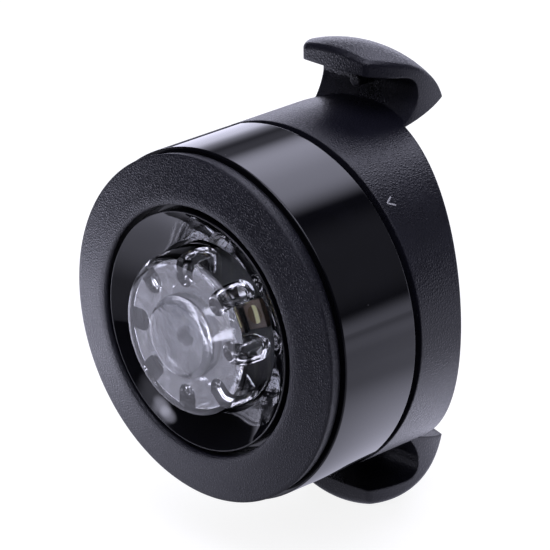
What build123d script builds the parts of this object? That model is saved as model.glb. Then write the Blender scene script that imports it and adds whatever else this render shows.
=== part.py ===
from build123d import *
from math import cos, radians, sin, sqrt, tan
import os

# Bicycle headlight, millimetres. The face looks along -Y, +X is to the right and +Z is up.
# The origin is the deepest point of the bar saddle, on the axis of the round body.
# Inside this file a depth is counted backward from the crease round the bezel's face.

# Outer body, front to back
body_radius = 21.0
crease_step = 0.3
band_step = 0.55
band_depth = 1.55
bezel_gap = 0.4
sleeve_length = 11.3
sleeve_rim_fillet = 0.15
housing_gap = 1.0
housing_depth = 6.55
saddle_radius = 40.5

# Fits
bond_gap = 0.05
face_gap = 0.05
running_gap = 0.08
stop_gap = 0.1

# Bezel
face_slope = 12.0
mouth_inset = 6.05
mouth_rise = 0.8
lip_width = 0.4
lip_round = 4.8
bezel_thickness = 1.2
skirt_wall = 1.0
skirt_length = 2.45
skirt_step = 0.75
bezel_crease_fillet = 0.12
seal_inset = 0.5

# Bowl round the button
rim_groove = 0.65
bowl_rim_rise = 0.95
bowl_rim_round = 0.15
bowl_hole_radius = 10.3
bowl_hole_depth = 1.4
bowl_back = 2.6
bowl_sag = 0.25
bowl_flange_width = 3.15

# Clear button: a thin cap with round-ended ribs down its inside and a raised lens
press_travel = 0.8
press_margin = 0.2
gasket_thickness = 0.3
gasket_width = 1.0
gasket_clearance = 0.25
crown_face_rise = 3.1
crown_face_radius = 8.6
crown_bevel = 1.0
crown_shoulder_radius = 9.65
crown_root_radius = 9.85
crown_flange_radius = 11.3
crown_flange_thickness = 1.0
crown_face_wall = 1.2
crown_side_wall = 1.0
rib_count = 8
rib_radius = 1.3
rib_circle = 7.3
rib_end_depth = 1.9
lens_radius = 4.9
lens_rise = 0.95
lens_shoulder = 0.75
lens_crest = 0.12
lens_inner_bulge = 0.6
post_radius = 1.3

# Board and what it carries
board_ledge = 1.6
board_thickness = 1.0
led_angle = 22.5
led_count = 2
led_circle = 4.6
led_length = 2.8
led_width = 3.2
led_height = 0.75
phosphor_radius = 1.1
phosphor_height = 0.15
switch_width = 4.0
switch_height = 1.6
stem_radius = 1.0
stem_height = 0.9
stem_engagement = 0.4
board_screw_inset = 2.0
board_screw_angle = 112.5
board_screw_radius = 0.8
board_screw_head_radius = 1.5
board_screw_head_height = 0.8
board_post_radius = 1.9
board_bore_clearance = 0.4
board_screw_bite = 2.6
regulator_size = (4.0, 3.0, 1.1)
regulator_place = (6.5, -5.0)
resistor_size = (2.0, 1.2, 0.5)
resistor_place = (-6.0, -6.0)
resistor_pitch = 2.2
capacitor_size = (1.6, 2.4, 0.8)
capacitor_place = (8.0, 4.5)

# Carrier and its bayonet
sleeve_wall = 1.6
bulkhead_depth = 8.0
bulkhead_thickness = 1.2
spigot_wall = 1.5
spigot_length = 3.65
lug_count = 3
lug_height = 0.9
lug_clearance = 0.3
lug_thickness = 1.2
lug_half_angle = 12.0
first_lug_angle = 90.0
twist_angle = 30.0
land_length = 1.35
stop_angle = 6.0
stop_clearance_angle = 1.0
slot_clearance_angle = 2.0
seal_width = 1.9
seal_rim_fillet = 0.3
seal_bore_clearance = 0.15

# Cells, tray and contacts
cell_radius = 10.0
cell_thickness = 3.2
cell_cap_radius = 8.8
cell_cap_height = 0.3
cell_gap = 0.15
tray_wall = 1.4
tray_base = 0.85
tray_rim_clearance = 0.5
tray_rim_thickness = 0.8
tray_rib_count = 6
tray_first_rib_angle = 30.0
tray_rib_thickness = 1.0
tray_rib_inset = 0.6
tray_rib_clearance = 1.6
tray_ear_thickness = 0.9
tray_ear_width = 5.4
tray_ear_inset = 0.2
tray_screw_radius = 0.8
tray_screw_head_radius = 1.3
tray_screw_head_height = 0.7
tray_screw_length = 3.2
contact_thickness = 0.3
contact_width = 3.0
contact_disc_radius = 8.0
contact_clearance = 0.1
track_inset = 0.2
track_width = 2.4
centre_pin_radius = 1.2
pin_foot_radius = 2.2
pin_foot_height = 0.5
rim_pin_radius = 0.8
rim_pin_angle = 202.5
pin_hole_clearance = 0.4

# Rear housing
housing_wall = 1.8
saddle_wall = 1.9
boss_radius = 2.4
weld = 0.3

# Strap hooks: setbacks are behind the saddle's deepest line, rises and drops are from the body's radius
hook_axis_setback = 3.2
hook_axis_drop = 3.4
hook_crest_radius = 11.0
hook_crown_radius = 19.0
hook_front_setback = 1.2
hook_front_bow = 0.25
hook_front_half_width = 5.0
hook_middle_setback = 7.2
hook_middle_half_width = 7.6
hook_back_setback = 12.7
hook_back_half_width = 6.7
hook_end_setback = 14.0
hook_corner_fillet = 1.2
hook_edge_fillet = 0.7
lip_underside_rise = 4.95
lip_underside_drop = 0.85
notch_wall_setback = 7.2
notch_roof_fillet = 2.0
notch_foot_rise = 1.6
notch_foot_reach = 2.1
notch_foot_drop = 3.2
neck_half_width = 7.2
neck_waist_rise = 0.2
neck_waist_radius = 2.2
shelf_root_drop = 1.8
shelf_crown_rise = 1.1
shelf_crown_setback = 8.1
shelf_tip_rise = 1.2
shelf_tip_setback = 12.2
shelf_run_rise = 0.3
bar_room = 6.0
peg_radius = 0.75
peg_rise = 2.6
peg_length = 2.6

# Sizes that follow from the ones above
crease_radius = body_radius - crease_step
band_radius = body_radius - band_step
mouth_radius = body_radius - mouth_inset
lip_crest_radius = mouth_radius + lip_width
bowl_rim_radius = mouth_radius - rim_groove
sleeve_front = band_depth + bezel_gap
sleeve_back = sleeve_front + sleeve_length
housing_front = sleeve_back + housing_gap
saddle_depth = housing_front + housing_depth
saddle_axis_depth = saddle_depth + saddle_radius
crown_flange_front = bowl_back + gasket_thickness
crown_flange_back = crown_flange_front + crown_flange_thickness
board_front = crown_flange_back + press_travel + press_margin
board_back = board_front + board_thickness
switch_front = board_front - switch_height
stem_front = switch_front - stem_height
tray_floor = saddle_depth - saddle_wall - face_gap - tray_base
cells_back = tray_floor - contact_thickness
cells_front = cells_back - 2 * cell_thickness
track_front = cells_front + face_gap
tray_rim_front = track_front + contact_thickness
spigot_back = sleeve_back + spigot_length
land_back = housing_front + land_length
sleeve_inner_radius = body_radius - sleeve_wall
carrier_radius = sleeve_inner_radius - bond_gap
skirt_outer_radius = carrier_radius - skirt_step
skirt_inner_radius = skirt_outer_radius - skirt_wall
carrier_bore_radius = skirt_inner_radius - board_ledge
board_radius = carrier_bore_radius - board_bore_clearance
board_screw_circle = board_radius - board_screw_inset
housing_bore_radius = body_radius - housing_wall
spigot_radius = housing_bore_radius - lug_height - lug_clearance
spigot_bore_radius = spigot_radius - spigot_wall
tray_inner_radius = cell_radius + cell_gap
tray_outer_radius = tray_inner_radius + tray_wall
tray_rim_radius = spigot_bore_radius - tray_rim_clearance
tray_screw_offset = (tray_outer_radius + spigot_bore_radius) / 2
track_outer_radius = tray_rim_radius - track_inset
track_inner_radius = track_outer_radius - track_width
track_middle_radius = (track_inner_radius + track_outer_radius) / 2
ear_back = tray_floor
ear_front = ear_back - tray_ear_thickness
notch_wall_depth = saddle_depth + notch_wall_setback
hook_front_depth = saddle_depth + hook_front_setback
hook_axis_height = body_radius - hook_axis_drop
lip_underside_height = body_radius + lip_underside_rise
notch_foot_height = body_radius + notch_foot_rise
shelf_height = body_radius - shelf_root_drop
shelf_crown_height = shelf_height + shelf_crown_rise
shelf_tip_height = shelf_crown_height + shelf_tip_rise
shelf_tip_depth = saddle_depth + shelf_tip_setback


def at(depth):
    """Y of a depth counted from the bezel's crease."""
    return depth - saddle_depth


def turned(*points):
    """A solid of revolution about the light's axis from (radius, depth) corners."""
    outline = Polyline(*[(radius, at(depth)) for radius, depth in points], close=True)
    return revolve(make_face(outline), axis=Axis.Y)


def rod(radius, front, back, x=0.0, z=0.0):
    """A round bar along the light's axis."""
    middle = at((front + back) / 2)
    return Pos(x, middle, z) * Rot(90, 0, 0) * Cylinder(radius, back - front)


def tube(outer, inner, front, back, x=0.0, z=0.0):
    """A round tube along the light's axis."""
    return rod(outer, front, back, x, z) - rod(inner, front - 1, back + 1, x, z)


def block(width, height, front, back, x=0.0, z=0.0):
    """A box across the axis, width in X and height in Z."""
    return Pos(x, at((front + back) / 2), z) * Box(width, back - front, height)


def around(angle):
    """Turns about the light's axis, from +X towards +Z."""
    return Rot(0, -angle, 0)


def on_circle(circle, angle):
    """X and Z of a point on a circle round the light's axis."""
    return circle * cos(radians(angle)), circle * sin(radians(angle))


def sector(outer, inner, front, back, centre, half_angle):
    """A piece of a tube, as wide as twice the half angle."""
    reach = outer * 2
    side = (reach * cos(radians(half_angle)), reach * sin(radians(half_angle)))
    wedge_face = Plane.XZ * make_face(Polyline((0, 0), side, (side[0], -side[1]), close=True))
    wedge = Pos(0, at(front), 0) * extrude(wedge_face, amount=-(back - front))
    return around(centre) * (tube(outer, inner, front, back) & wedge)


def outer_rims(ring, limit):
    """The round edges of a ring that are larger than a limit."""
    return [edge for edge in ring.edges().filter_by(GeomType.CIRCLE) if edge.radius > limit]


def lug_angles():
    return [first_lug_angle + turn * 360 / lug_count for turn in range(lug_count)]


def board_screw_places():
    return [on_circle(board_screw_circle, board_screw_angle + turn * 180) for turn in range(2)]


def led_angles():
    return [led_angle + turn * 360 / led_count for turn in range(led_count)]


def front_bezel():
    """Textured front ring: rounded lip, cone face, side band and inner skirt."""
    slope = radians(face_slope)
    cone_start = (lip_crest_radius + lip_round * sin(slope), 0)
    cone_rise = (crease_radius - cone_start[0]) * tan(slope)
    lip_rise = cone_rise + lip_round * (1 - cos(slope))
    middle = (lip_round * sin(slope / 2), lip_round * (1 - cos(slope / 2)))
    nose = ThreePointArc(
        (mouth_radius, at(-mouth_rise)),
        (mouth_radius + 0.3 * lip_width, at(-mouth_rise - 0.7 * (lip_rise - mouth_rise))),
        (lip_crest_radius, at(-lip_rise)),
    )
    shoulder = ThreePointArc(
        (lip_crest_radius, at(-lip_rise)),
        (lip_crest_radius + middle[0], at(middle[1] - lip_rise)),
        (cone_start[0], at(-cone_rise)),
    )
    rest = Polyline(
        (cone_start[0], at(-cone_rise)),
        (crease_radius, at(0)),
        (band_radius, at(band_depth)),
        (skirt_outer_radius, at(band_depth)),
        (skirt_outer_radius, at(band_depth + skirt_length)),
        (skirt_inner_radius, at(band_depth + skirt_length)),
        (skirt_inner_radius, at(bezel_thickness)),
        (mouth_radius, at(bezel_thickness)),
        (mouth_radius, at(-mouth_rise)),
    )
    ring = revolve(make_face(nose + shoulder + rest), axis=Axis.Y)
    crease = ring.edges().filter_by(GeomType.CIRCLE).sort_by(lambda edge: -edge.radius)[0]
    return fillet(crease, bezel_crease_fillet)


def bezel_seal():
    """Flat ring that fills the narrow groove behind the bezel."""
    return tube(band_radius - seal_inset, skirt_outer_radius + bond_gap, band_depth, sleeve_front)


def body_sleeve():
    """Gloss tube round the middle of the light."""
    sleeve = tube(body_radius, sleeve_inner_radius, sleeve_front, sleeve_back)
    rims = outer_rims(sleeve, carrier_radius + 1)
    return fillet(rims, sleeve_rim_fillet)


def bowl_insert():
    """Gloss dish behind the bezel's mouth, with the hole that the button stands in."""
    flange_radius = bowl_rim_radius + bowl_flange_width
    flange_front = bezel_thickness + face_gap
    edge = bowl_rim_radius - bowl_rim_round
    turn = bowl_rim_round * (1 - sqrt(0.5))
    dish = ThreePointArc(
        (bowl_hole_radius, at(bowl_hole_depth)),
        ((bowl_hole_radius + edge) / 2, at((bowl_hole_depth - bowl_rim_rise) / 2 + bowl_sag)),
        (edge, at(-bowl_rim_rise)),
    )
    rim = ThreePointArc(
        (edge, at(-bowl_rim_rise)),
        (bowl_rim_radius - turn, at(turn - bowl_rim_rise)),
        (bowl_rim_radius, at(bowl_rim_round - bowl_rim_rise)),
    )
    rest = Polyline(
        (bowl_rim_radius, at(bowl_rim_round - bowl_rim_rise)),
        (bowl_rim_radius, at(flange_front)),
        (flange_radius, at(flange_front)),
        (flange_radius, at(bowl_back)),
        (bowl_hole_radius, at(bowl_back)),
        (bowl_hole_radius, at(bowl_hole_depth)),
    )
    return revolve(make_face(dish + rim + rest), axis=Axis.Y)


def crown_gasket():
    """Soft ring under the bowl that the button's flange rests against."""
    inner = crown_root_radius + gasket_clearance
    return tube(inner + gasket_width, inner, bowl_back, crown_flange_front)


def rib():
    """One of the button's inner ribs: round towards the middle, joined to the wall, with a ball end."""
    front = -crown_face_rise
    end = rib_end_depth - rib_radius
    outward = crown_shoulder_radius - rib_circle
    along = rod(rib_radius, front, end, x=rib_circle)
    ball = Pos(rib_circle, at(end), 0) * Sphere(rib_radius)
    across = Pos(rib_circle + outward / 2, at(end), 0) * Rot(0, 90, 0) * Cylinder(rib_radius, outward)
    web = block(outward, 2 * rib_radius, front, end, x=rib_circle + outward / 2)
    return along + ball + across + web


def crown_lens():
    """Clear push button: a cap with a raised lens, ribs down its inside and a flange."""
    face = -crown_face_rise
    lens_top = face - lens_rise
    lens_flat = lens_radius - lens_shoulder
    crest = ThreePointArc(
        (0, at(lens_top)),
        (lens_flat / 2, at(lens_top + lens_crest / 4)),
        (lens_flat, at(lens_top + lens_crest)),
    )
    flank = ThreePointArc(
        (lens_flat, at(lens_top + lens_crest)),
        (lens_radius - 0.3 * lens_shoulder, at(lens_top + 3 * lens_crest)),
        (lens_radius, at(face)),
    )
    bevel = ThreePointArc(
        (crown_face_radius, at(face)),
        (crown_shoulder_radius - 0.3 * crown_bevel, at(face + 0.35 * crown_bevel)),
        (crown_shoulder_radius, at(face + crown_bevel)),
    )
    land = Line((lens_radius, at(face)), (crown_face_radius, at(face)))
    rest = Polyline(
        (crown_shoulder_radius, at(face + crown_bevel)),
        (crown_root_radius, at(crown_flange_front)),
        (crown_flange_radius, at(crown_flange_front)),
        (crown_flange_radius, at(crown_flange_back)),
        (0, at(crown_flange_back)),
        (0, at(lens_top)),
    )
    blank = revolve(make_face(crest + flank + land + bevel + rest), axis=Axis.Y)
    roof = face + crown_face_wall
    void_radius = crown_shoulder_radius - crown_side_wall
    hollow = turned(
        (0, roof + lens_inner_bulge),
        (lens_radius * 0.45, roof + lens_inner_bulge * 0.8),
        (lens_radius * 0.85, roof),
        (void_radius, roof),
        (void_radius, crown_flange_back + 1),
        (0, crown_flange_back + 1),
    )
    hollow -= rod(post_radius, face, stem_front)
    for turn in range(rib_count):
        hollow -= around(turn * 360 / rib_count) * rib()
    return blank - hollow


def switch_stem():
    """Stem of the switch, always under the button's post and moving with it."""
    return rod(stem_radius, stem_front, switch_front + stem_engagement)


def switch_body():
    """Square switch in the middle of the board, with the bore for its stem."""
    body = around(led_angle) * block(switch_width, switch_width, switch_front, board_front)
    bore_back = switch_front + stem_engagement + press_travel + stop_gap
    return body - rod(stem_radius + stop_gap, switch_front - 1, bore_back)


def led_board():
    """Round circuit board with holes for its two screws."""
    board = rod(board_radius, board_front, board_back)
    for x, z in board_screw_places():
        board -= rod(board_screw_radius + bond_gap, board_front - 1, board_back + 1, x, z)
    return board


def led_packages():
    """Two white light sources, one each side of the switch, with a cup for the phosphor."""
    front = board_front - led_height
    packages = []
    for angle in led_angles():
        package = block(led_length, led_width, front, board_front, x=led_circle)
        package -= rod(phosphor_radius, front - 1, front + phosphor_height, x=led_circle)
        packages.append(around(angle) * package)
    return Compound(children=packages)


def led_phosphors():
    """The yellow discs in the light sources."""
    front = board_front - led_height
    discs = [
        around(angle) * rod(phosphor_radius - 0.02, front, front + phosphor_height, x=led_circle)
        for angle in led_angles()
    ]
    return Compound(children=discs)


def driver_chips():
    """Small parts soldered to the back of the board."""
    second_resistor = (resistor_place[0], resistor_place[1] - resistor_pitch)
    layout = [
        (regulator_size, regulator_place),
        (resistor_size, resistor_place),
        (resistor_size, second_resistor),
        (capacitor_size, capacitor_place),
    ]
    chips = [
        block(size[0], size[1], board_back, board_back + size[2], x=place[0], z=place[1])
        for size, place in layout
    ]
    return Compound(children=chips)


def screw(radius, head_radius, head_height, front, length, x, z):
    """A pan-head screw with a cross slot, its head seated at the given depth."""
    head = rod(head_radius, front - head_height, front, x, z)
    rim = head.edges().filter_by(GeomType.CIRCLE).sort_by(Axis.Y)[0]
    head = fillet(rim, head_height * 0.4)
    for angle in (0, 90):
        slot = Rot(0, angle, 0) * Box(head_radius * 1.1, head_height, head_radius * 0.28)
        head -= Pos(x, at(front - head_height), z) * slot
    return head + rod(radius, front, front + length, x, z)


def board_screws():
    """Two screws that hold the board to the carrier's posts."""
    length = board_thickness + board_screw_bite
    screws = [
        screw(
            board_screw_radius, board_screw_head_radius, board_screw_head_height,
            board_front, length, x, z,
        )
        for x, z in board_screw_places()
    ]
    return Compound(children=screws)


def head_carrier():
    """Inner moulding of the head: tube, bulkhead, board posts and the bayonet spigot."""
    front = sleeve_front
    bulkhead_back = bulkhead_depth + bulkhead_thickness
    ledge_inner = carrier_bore_radius
    ledge_outer = skirt_inner_radius - bond_gap
    groove_back = band_depth + skirt_length + face_gap
    body = turned(
        (carrier_radius, front),
        (carrier_radius, sleeve_back),
        (spigot_radius, sleeve_back),
        (spigot_radius, spigot_back),
        (spigot_bore_radius, spigot_back),
        (spigot_bore_radius, bulkhead_back),
        (0, bulkhead_back),
        (0, bulkhead_depth),
        (ledge_inner, bulkhead_depth),
        (ledge_inner, bowl_back + face_gap),
        (ledge_outer, bowl_back + face_gap),
        (ledge_outer, groove_back),
        (skirt_outer_radius + bond_gap, groove_back),
        (skirt_outer_radius + bond_gap, front),
    )
    body -= rod(centre_pin_radius + pin_hole_clearance, bulkhead_depth - 1, bulkhead_back + 1)
    x, z = on_circle(track_middle_radius, rim_pin_angle)
    body -= rod(rim_pin_radius + pin_hole_clearance, bulkhead_depth - 1, bulkhead_back + 1, x, z)
    for x, z in board_screw_places():
        body += rod(board_post_radius, board_back, bulkhead_depth, x, z)
        body -= rod(board_screw_radius, board_back - 1, board_back + board_screw_bite + stop_gap, x, z)
    for angle in lug_angles():
        lug_front = spigot_back - lug_thickness
        body += sector(
            spigot_radius + lug_height, spigot_radius - weld, lug_front, spigot_back, angle, lug_half_angle
        )
    return body


def centre_pin():
    """Sprung pin from the board to the front cell."""
    pin = rod(centre_pin_radius, board_back, cells_front - face_gap)
    return pin + rod(pin_foot_radius, board_back, board_back + pin_foot_height)


def rim_pin():
    """Sprung pin from the board to the contact track on the tray."""
    x, z = on_circle(track_middle_radius, rim_pin_angle)
    return rod(rim_pin_radius, board_back, track_front - face_gap, x, z)


def coin_cell(front):
    """Coin cell with its cap to the front."""
    can = rod(cell_radius, front + cell_cap_height, front + cell_thickness)
    rims = can.edges().filter_by(GeomType.CIRCLE)
    can = fillet(rims, 0.3)
    return can + rod(cell_cap_radius, front, front + cell_cap_height)


def battery_tray():
    """Round tray for the two cells, with a ribbed rim and two screw ears."""
    tray = tube(tray_outer_radius, tray_inner_radius, tray_rim_front, tray_floor)
    tray += rod(tray_outer_radius, tray_floor, tray_floor + tray_base)
    tray += tube(tray_rim_radius, tray_inner_radius, tray_rim_front, tray_rim_front + tray_rim_thickness)
    rib_inner = tray_inner_radius + tray_rib_inset
    rib_outer = tray_rim_radius - tray_rib_inset
    for turn in range(tray_rib_count):
        rib_plate = block(
            rib_outer - rib_inner, tray_rib_thickness, tray_rim_front, ear_front - tray_rib_clearance,
            x=(rib_inner + rib_outer) / 2,
        )
        tray += around(tray_first_rib_angle + turn * 360 / tray_rib_count) * rib_plate
    ear_inner = tray_inner_radius + weld
    ear_outer = tray_rim_radius - tray_ear_inset
    for side in (1, -1):
        middle = side * (ear_inner + ear_outer) / 2
        tray += block(tray_ear_width, ear_outer - ear_inner, ear_front, ear_back, z=middle)
        tray -= rod(tray_screw_radius + bond_gap, ear_front - 1, ear_back + 1, z=side * tray_screw_offset)
    slot_width = contact_width + 2 * contact_clearance
    slot_outer = tray_outer_radius + contact_thickness + contact_clearance
    tray -= block(
        slot_outer - contact_disc_radius, slot_width, cells_back - face_gap, tray_floor,
        x=(slot_outer + contact_disc_radius) / 2,
    )
    tray -= block(
        slot_outer - tray_outer_radius, slot_width, tray_rim_front - 1, tray_floor,
        x=(slot_outer + tray_outer_radius) / 2,
    )
    return tray


def return_contact():
    """Stamped strip: disc under the cells, riser and the track that the rim pin touches."""
    riser_inner = tray_outer_radius + face_gap
    riser_outer = riser_inner + contact_thickness
    disc = rod(contact_disc_radius, cells_back, tray_floor)
    foot = block(
        riser_outer - contact_disc_radius + 1, contact_width, cells_back, tray_floor,
        x=(riser_outer + contact_disc_radius - 1) / 2,
    )
    riser = block(
        contact_thickness, contact_width, track_front, tray_floor, x=(riser_inner + riser_outer) / 2
    )
    track = tube(track_outer_radius, track_inner_radius, track_front, tray_rim_front)
    bridge_outer = max(track_inner_radius + weld, riser_outer)
    bridge = block(
        bridge_outer - riser_inner, contact_width, track_front, tray_rim_front,
        x=(bridge_outer + riser_inner) / 2,
    )
    return disc + foot + riser + track + bridge


def tray_screws():
    """Two screws through the tray's ears into the housing's bosses."""
    screws = [
        screw(
            tray_screw_radius, tray_screw_head_radius, tray_screw_head_height,
            ear_front, tray_ear_thickness + tray_screw_length, 0, side * tray_screw_offset,
        )
        for side in (1, -1)
    ]
    return Compound(children=screws)


def housing_seal():
    """Soft ring in the groove between the sleeve and the rear housing."""
    inner = spigot_radius + seal_bore_clearance
    seal = tube(inner + seal_width, inner, sleeve_back + face_gap, housing_front)
    return fillet(outer_rims(seal, inner + 1), seal_rim_fillet)


def bar_rod(radius):
    """A round bar across the light, behind the saddle."""
    return Pos(0, at(saddle_axis_depth), 0) * Rot(0, 90, 0) * Cylinder(radius, 3 * body_radius)


def bar_space():
    """The room behind the saddle's arc and under the upper hook, where the bar lies."""
    behind = shelf_tip_depth + bar_room
    root_depth = saddle_axis_depth - sqrt(saddle_radius**2 - shelf_height**2)
    shelf = ThreePointArc(
        (at(root_depth), shelf_height),
        (at(saddle_depth + shelf_crown_setback), shelf_crown_height),
        (at(shelf_tip_depth), shelf_tip_height),
    )
    rest = Polyline(
        (at(shelf_tip_depth), shelf_tip_height),
        (at(behind), shelf_tip_height + shelf_run_rise),
        (at(behind), 0),
        (at(housing_front), 0),
        (at(housing_front), shelf_height),
        (at(root_depth), shelf_height),
    )
    under_shelf = extrude(Plane.YZ * make_face(shelf + rest), amount=1.5 * body_radius, both=True)
    return under_shelf & bar_rod(saddle_radius)


def hook_cap():
    """The hook's outer form: a barrel trimmed to its plan, with rounded edges."""
    half_length = 1.4 * hook_middle_half_width
    sag = hook_crown_radius - sqrt(hook_crown_radius**2 - half_length**2)
    arch = ThreePointArc(
        (-half_length, hook_crest_radius - sag),
        (0, hook_crest_radius),
        (half_length, hook_crest_radius - sag),
    )
    base = Polyline(
        (half_length, hook_crest_radius - sag), (half_length, 0), (-half_length, 0),
        (-half_length, hook_crest_radius - sag),
    )
    barrel = revolve(make_face(arch + base), axis=Axis.X)
    barrel = Pos(0, at(saddle_depth + hook_axis_setback), hook_axis_height) * barrel

    middle_depth = saddle_depth + hook_middle_setback
    front = (hook_front_half_width, at(hook_front_depth))
    middle = (hook_middle_half_width, at(middle_depth))
    back = (hook_back_half_width, at(saddle_depth + hook_back_setback))
    end = (0, at(saddle_depth + hook_end_setback))
    plan = make_face(
        ThreePointArc((-front[0], front[1]), (0, front[1] - hook_front_bow), front)
        + ThreePointArc(front, middle, back)
        + ThreePointArc(back, end, (-back[0], back[1]))
        + ThreePointArc((-back[0], back[1]), (-middle[0], middle[1]), (-front[0], front[1]))
    )
    corners = [corner for corner in plan.vertices() if corner.Y < at(middle_depth)]
    plan = fillet(corners, hook_corner_fillet)
    cap = barrel & Pos(0, 0, hook_axis_height) * extrude(plan, amount=1.2 * hook_crest_radius)
    top = cap.faces().sort_by(Axis.Z)[-1]
    rim = [edge for edge in top.edges() if edge.center().Y < back[1]]
    return fillet(rim, hook_edge_fillet)


def hook_notch():
    """The room under the hook's lip that the strap's loop sits in."""
    ahead = hook_front_depth - 4
    roof_back = lip_underside_height - lip_underside_drop
    roof_slope = lip_underside_drop / (notch_wall_depth - hook_front_depth)
    roof_front = lip_underside_height + roof_slope * (hook_front_depth - ahead)
    below = hook_axis_height - 5
    foot_depth = notch_wall_depth - notch_foot_reach
    foot_height = notch_foot_height - notch_foot_drop
    roof = Polyline(
        (at(foot_depth), foot_height),
        (at(foot_depth), below),
        (at(ahead), below),
        (at(ahead), roof_front),
        (at(notch_wall_depth), roof_back),
        (at(notch_wall_depth), notch_foot_height),
    )
    foot = ThreePointArc(
        (at(notch_wall_depth), notch_foot_height),
        (at(notch_wall_depth - 0.27 * notch_foot_reach), notch_foot_height - 0.47 * notch_foot_drop),
        (at(foot_depth), foot_height),
    )
    notch_face = Plane.YZ * make_face(roof + foot)
    notch = extrude(notch_face, amount=body_radius, both=True)
    level_edges = notch.edges().filter_by(Axis.X).sort_by(Axis.Y)
    roof_edges = [edge for edge in level_edges if edge.center().Z > notch_foot_height]
    notch = fillet(roof_edges[-1], notch_roof_fillet)
    return notch - rod(body_radius, housing_front, notch_wall_depth + 1)


def neck_foot():
    """The flare at the foot of the hook's neck, where it runs out into the round body."""
    waist_height = body_radius + neck_waist_rise
    waist_middle = neck_half_width + neck_waist_radius
    height = waist_height - hook_axis_height
    foot = block(
        2 * waist_middle, height, hook_front_depth, shelf_tip_depth, z=hook_axis_height + height / 2
    )
    for side in (1, -1):
        foot -= rod(
            neck_waist_radius, hook_front_depth - 1, shelf_tip_depth + 1, side * waist_middle, waist_height
        )
    return foot - bar_rod(saddle_radius)


def strap_hook():
    """Upper strap hook: crowned lip over a notch, on a neck that flares into the body."""
    hook = hook_cap() + neck_foot() - hook_notch() - bar_space()
    peg_y = at(notch_wall_depth) - peg_length / 2
    peg = Pos(0, peg_y + weld, body_radius + peg_rise) * Rot(90, 0, 0)
    return hook + peg * Cylinder(peg_radius, peg_length + 2 * weld)


def rear_housing():
    """Textured rear moulding: cup, bayonet land, saddle and two strap hooks."""
    reach = shelf_tip_depth
    saddle = bar_rod(saddle_radius)
    cup = rod(body_radius, housing_front, reach) - saddle
    upper = strap_hook()
    housing = cup + upper + mirror(upper, about=Plane.XY)
    housing -= rod(housing_bore_radius, housing_front - 1, reach) - bar_rod(saddle_radius + saddle_wall)

    land_radius = spigot_radius + running_gap
    housing += tube(housing_bore_radius + weld, land_radius, housing_front, land_back)
    slot_half_angle = lug_half_angle + slot_clearance_angle
    slot_radius = spigot_radius + lug_height + stop_gap
    for angle in lug_angles():
        housing -= sector(
            slot_radius, land_radius - 1, housing_front - 1, land_back + 1,
            angle + twist_angle, slot_half_angle,
        )
        closed_stop = angle - lug_half_angle - stop_clearance_angle - stop_angle / 2
        open_stop = angle + twist_angle + lug_half_angle + stop_clearance_angle + stop_angle / 2
        for stop in (closed_stop, open_stop):
            housing += sector(
                housing_bore_radius + weld, land_radius, land_back - weld, spigot_back, stop, stop_angle / 2
            )
    for side in (1, -1):
        z = side * tray_screw_offset
        boss = rod(boss_radius, ear_back, reach, z=z) & rod(body_radius, housing_front, reach)
        housing += boss - saddle
        housing -= rod(tray_screw_radius, ear_back - 1, ear_back + tray_screw_length + stop_gap, z=z)
    return housing


os.makedirs("parts", exist_ok=True)
nodes = {
    "front_bezel": front_bezel(),
    "bezel_seal": bezel_seal(),
    "body_sleeve": body_sleeve(),
    "bowl_insert": bowl_insert(),
    "crown_gasket": crown_gasket(),
    "crown_lens": crown_lens(),
    "switch_stem": switch_stem(),
    "switch_body": switch_body(),
    "led_board": led_board(),
    "led_packages": led_packages(),
    "led_phosphors": led_phosphors(),
    "driver_chips": driver_chips(),
    "board_screws": board_screws(),
    "head_carrier": head_carrier(),
    "centre_pin": centre_pin(),
    "rim_pin": rim_pin(),
    "coin_cell_front": coin_cell(cells_front),
    "coin_cell_rear": coin_cell(cells_front + cell_thickness),
    "battery_tray": battery_tray(),
    "return_contact": return_contact(),
    "tray_screws": tray_screws(),
    "housing_seal": housing_seal(),
    "rear_housing": rear_housing(),
}
for name, shape in nodes.items():
    export_step(shape, "parts/" + name + ".step")
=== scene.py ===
"""Looks of the strap-on bicycle headlight, built round its packed construction model.

Everything is in metres, in the frame of the construction model: the light shines along -Y, +X is to the
right, +Z is up, and the origin is the deepest point of the saddle for the handlebar.
"""

import logging
import math
from dataclasses import dataclass
from enum import Enum
from typing import Iterable

import bmesh
import bpy
from mathutils import Matrix, Vector


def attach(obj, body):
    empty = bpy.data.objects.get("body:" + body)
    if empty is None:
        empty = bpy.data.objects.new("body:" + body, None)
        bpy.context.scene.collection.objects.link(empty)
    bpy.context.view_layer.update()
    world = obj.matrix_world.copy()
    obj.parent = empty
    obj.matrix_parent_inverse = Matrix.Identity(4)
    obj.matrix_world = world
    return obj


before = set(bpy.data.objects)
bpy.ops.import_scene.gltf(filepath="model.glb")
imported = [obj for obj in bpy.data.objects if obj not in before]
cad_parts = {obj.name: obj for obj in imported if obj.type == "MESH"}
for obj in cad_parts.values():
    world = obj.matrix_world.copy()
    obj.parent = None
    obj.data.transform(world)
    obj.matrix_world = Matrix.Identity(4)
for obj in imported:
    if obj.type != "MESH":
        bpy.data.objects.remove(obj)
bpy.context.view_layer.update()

MM = 0.001
MIX_FACTOR = 0
MIX_FIRST_COLOUR = 6
MIX_SECOND_COLOUR = 7
MIX_COLOUR_RESULT = 2
log = logging.getLogger("headlight")


class Body(Enum):
    """The rigid groups that pieces ride on."""

    BASE = "base"
    HEAD = "head"
    BUTTON = "button"


class Result(Enum):
    """What a shared effect puts out."""

    MASK = "NodeSocketFloat"
    NORMAL = "NodeSocketVector"


class Cut(Enum):
    """How metal was worked, which sets the way of its fine lines."""

    TURNED = "RINGS"
    DRAWN = "BANDS"


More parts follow.
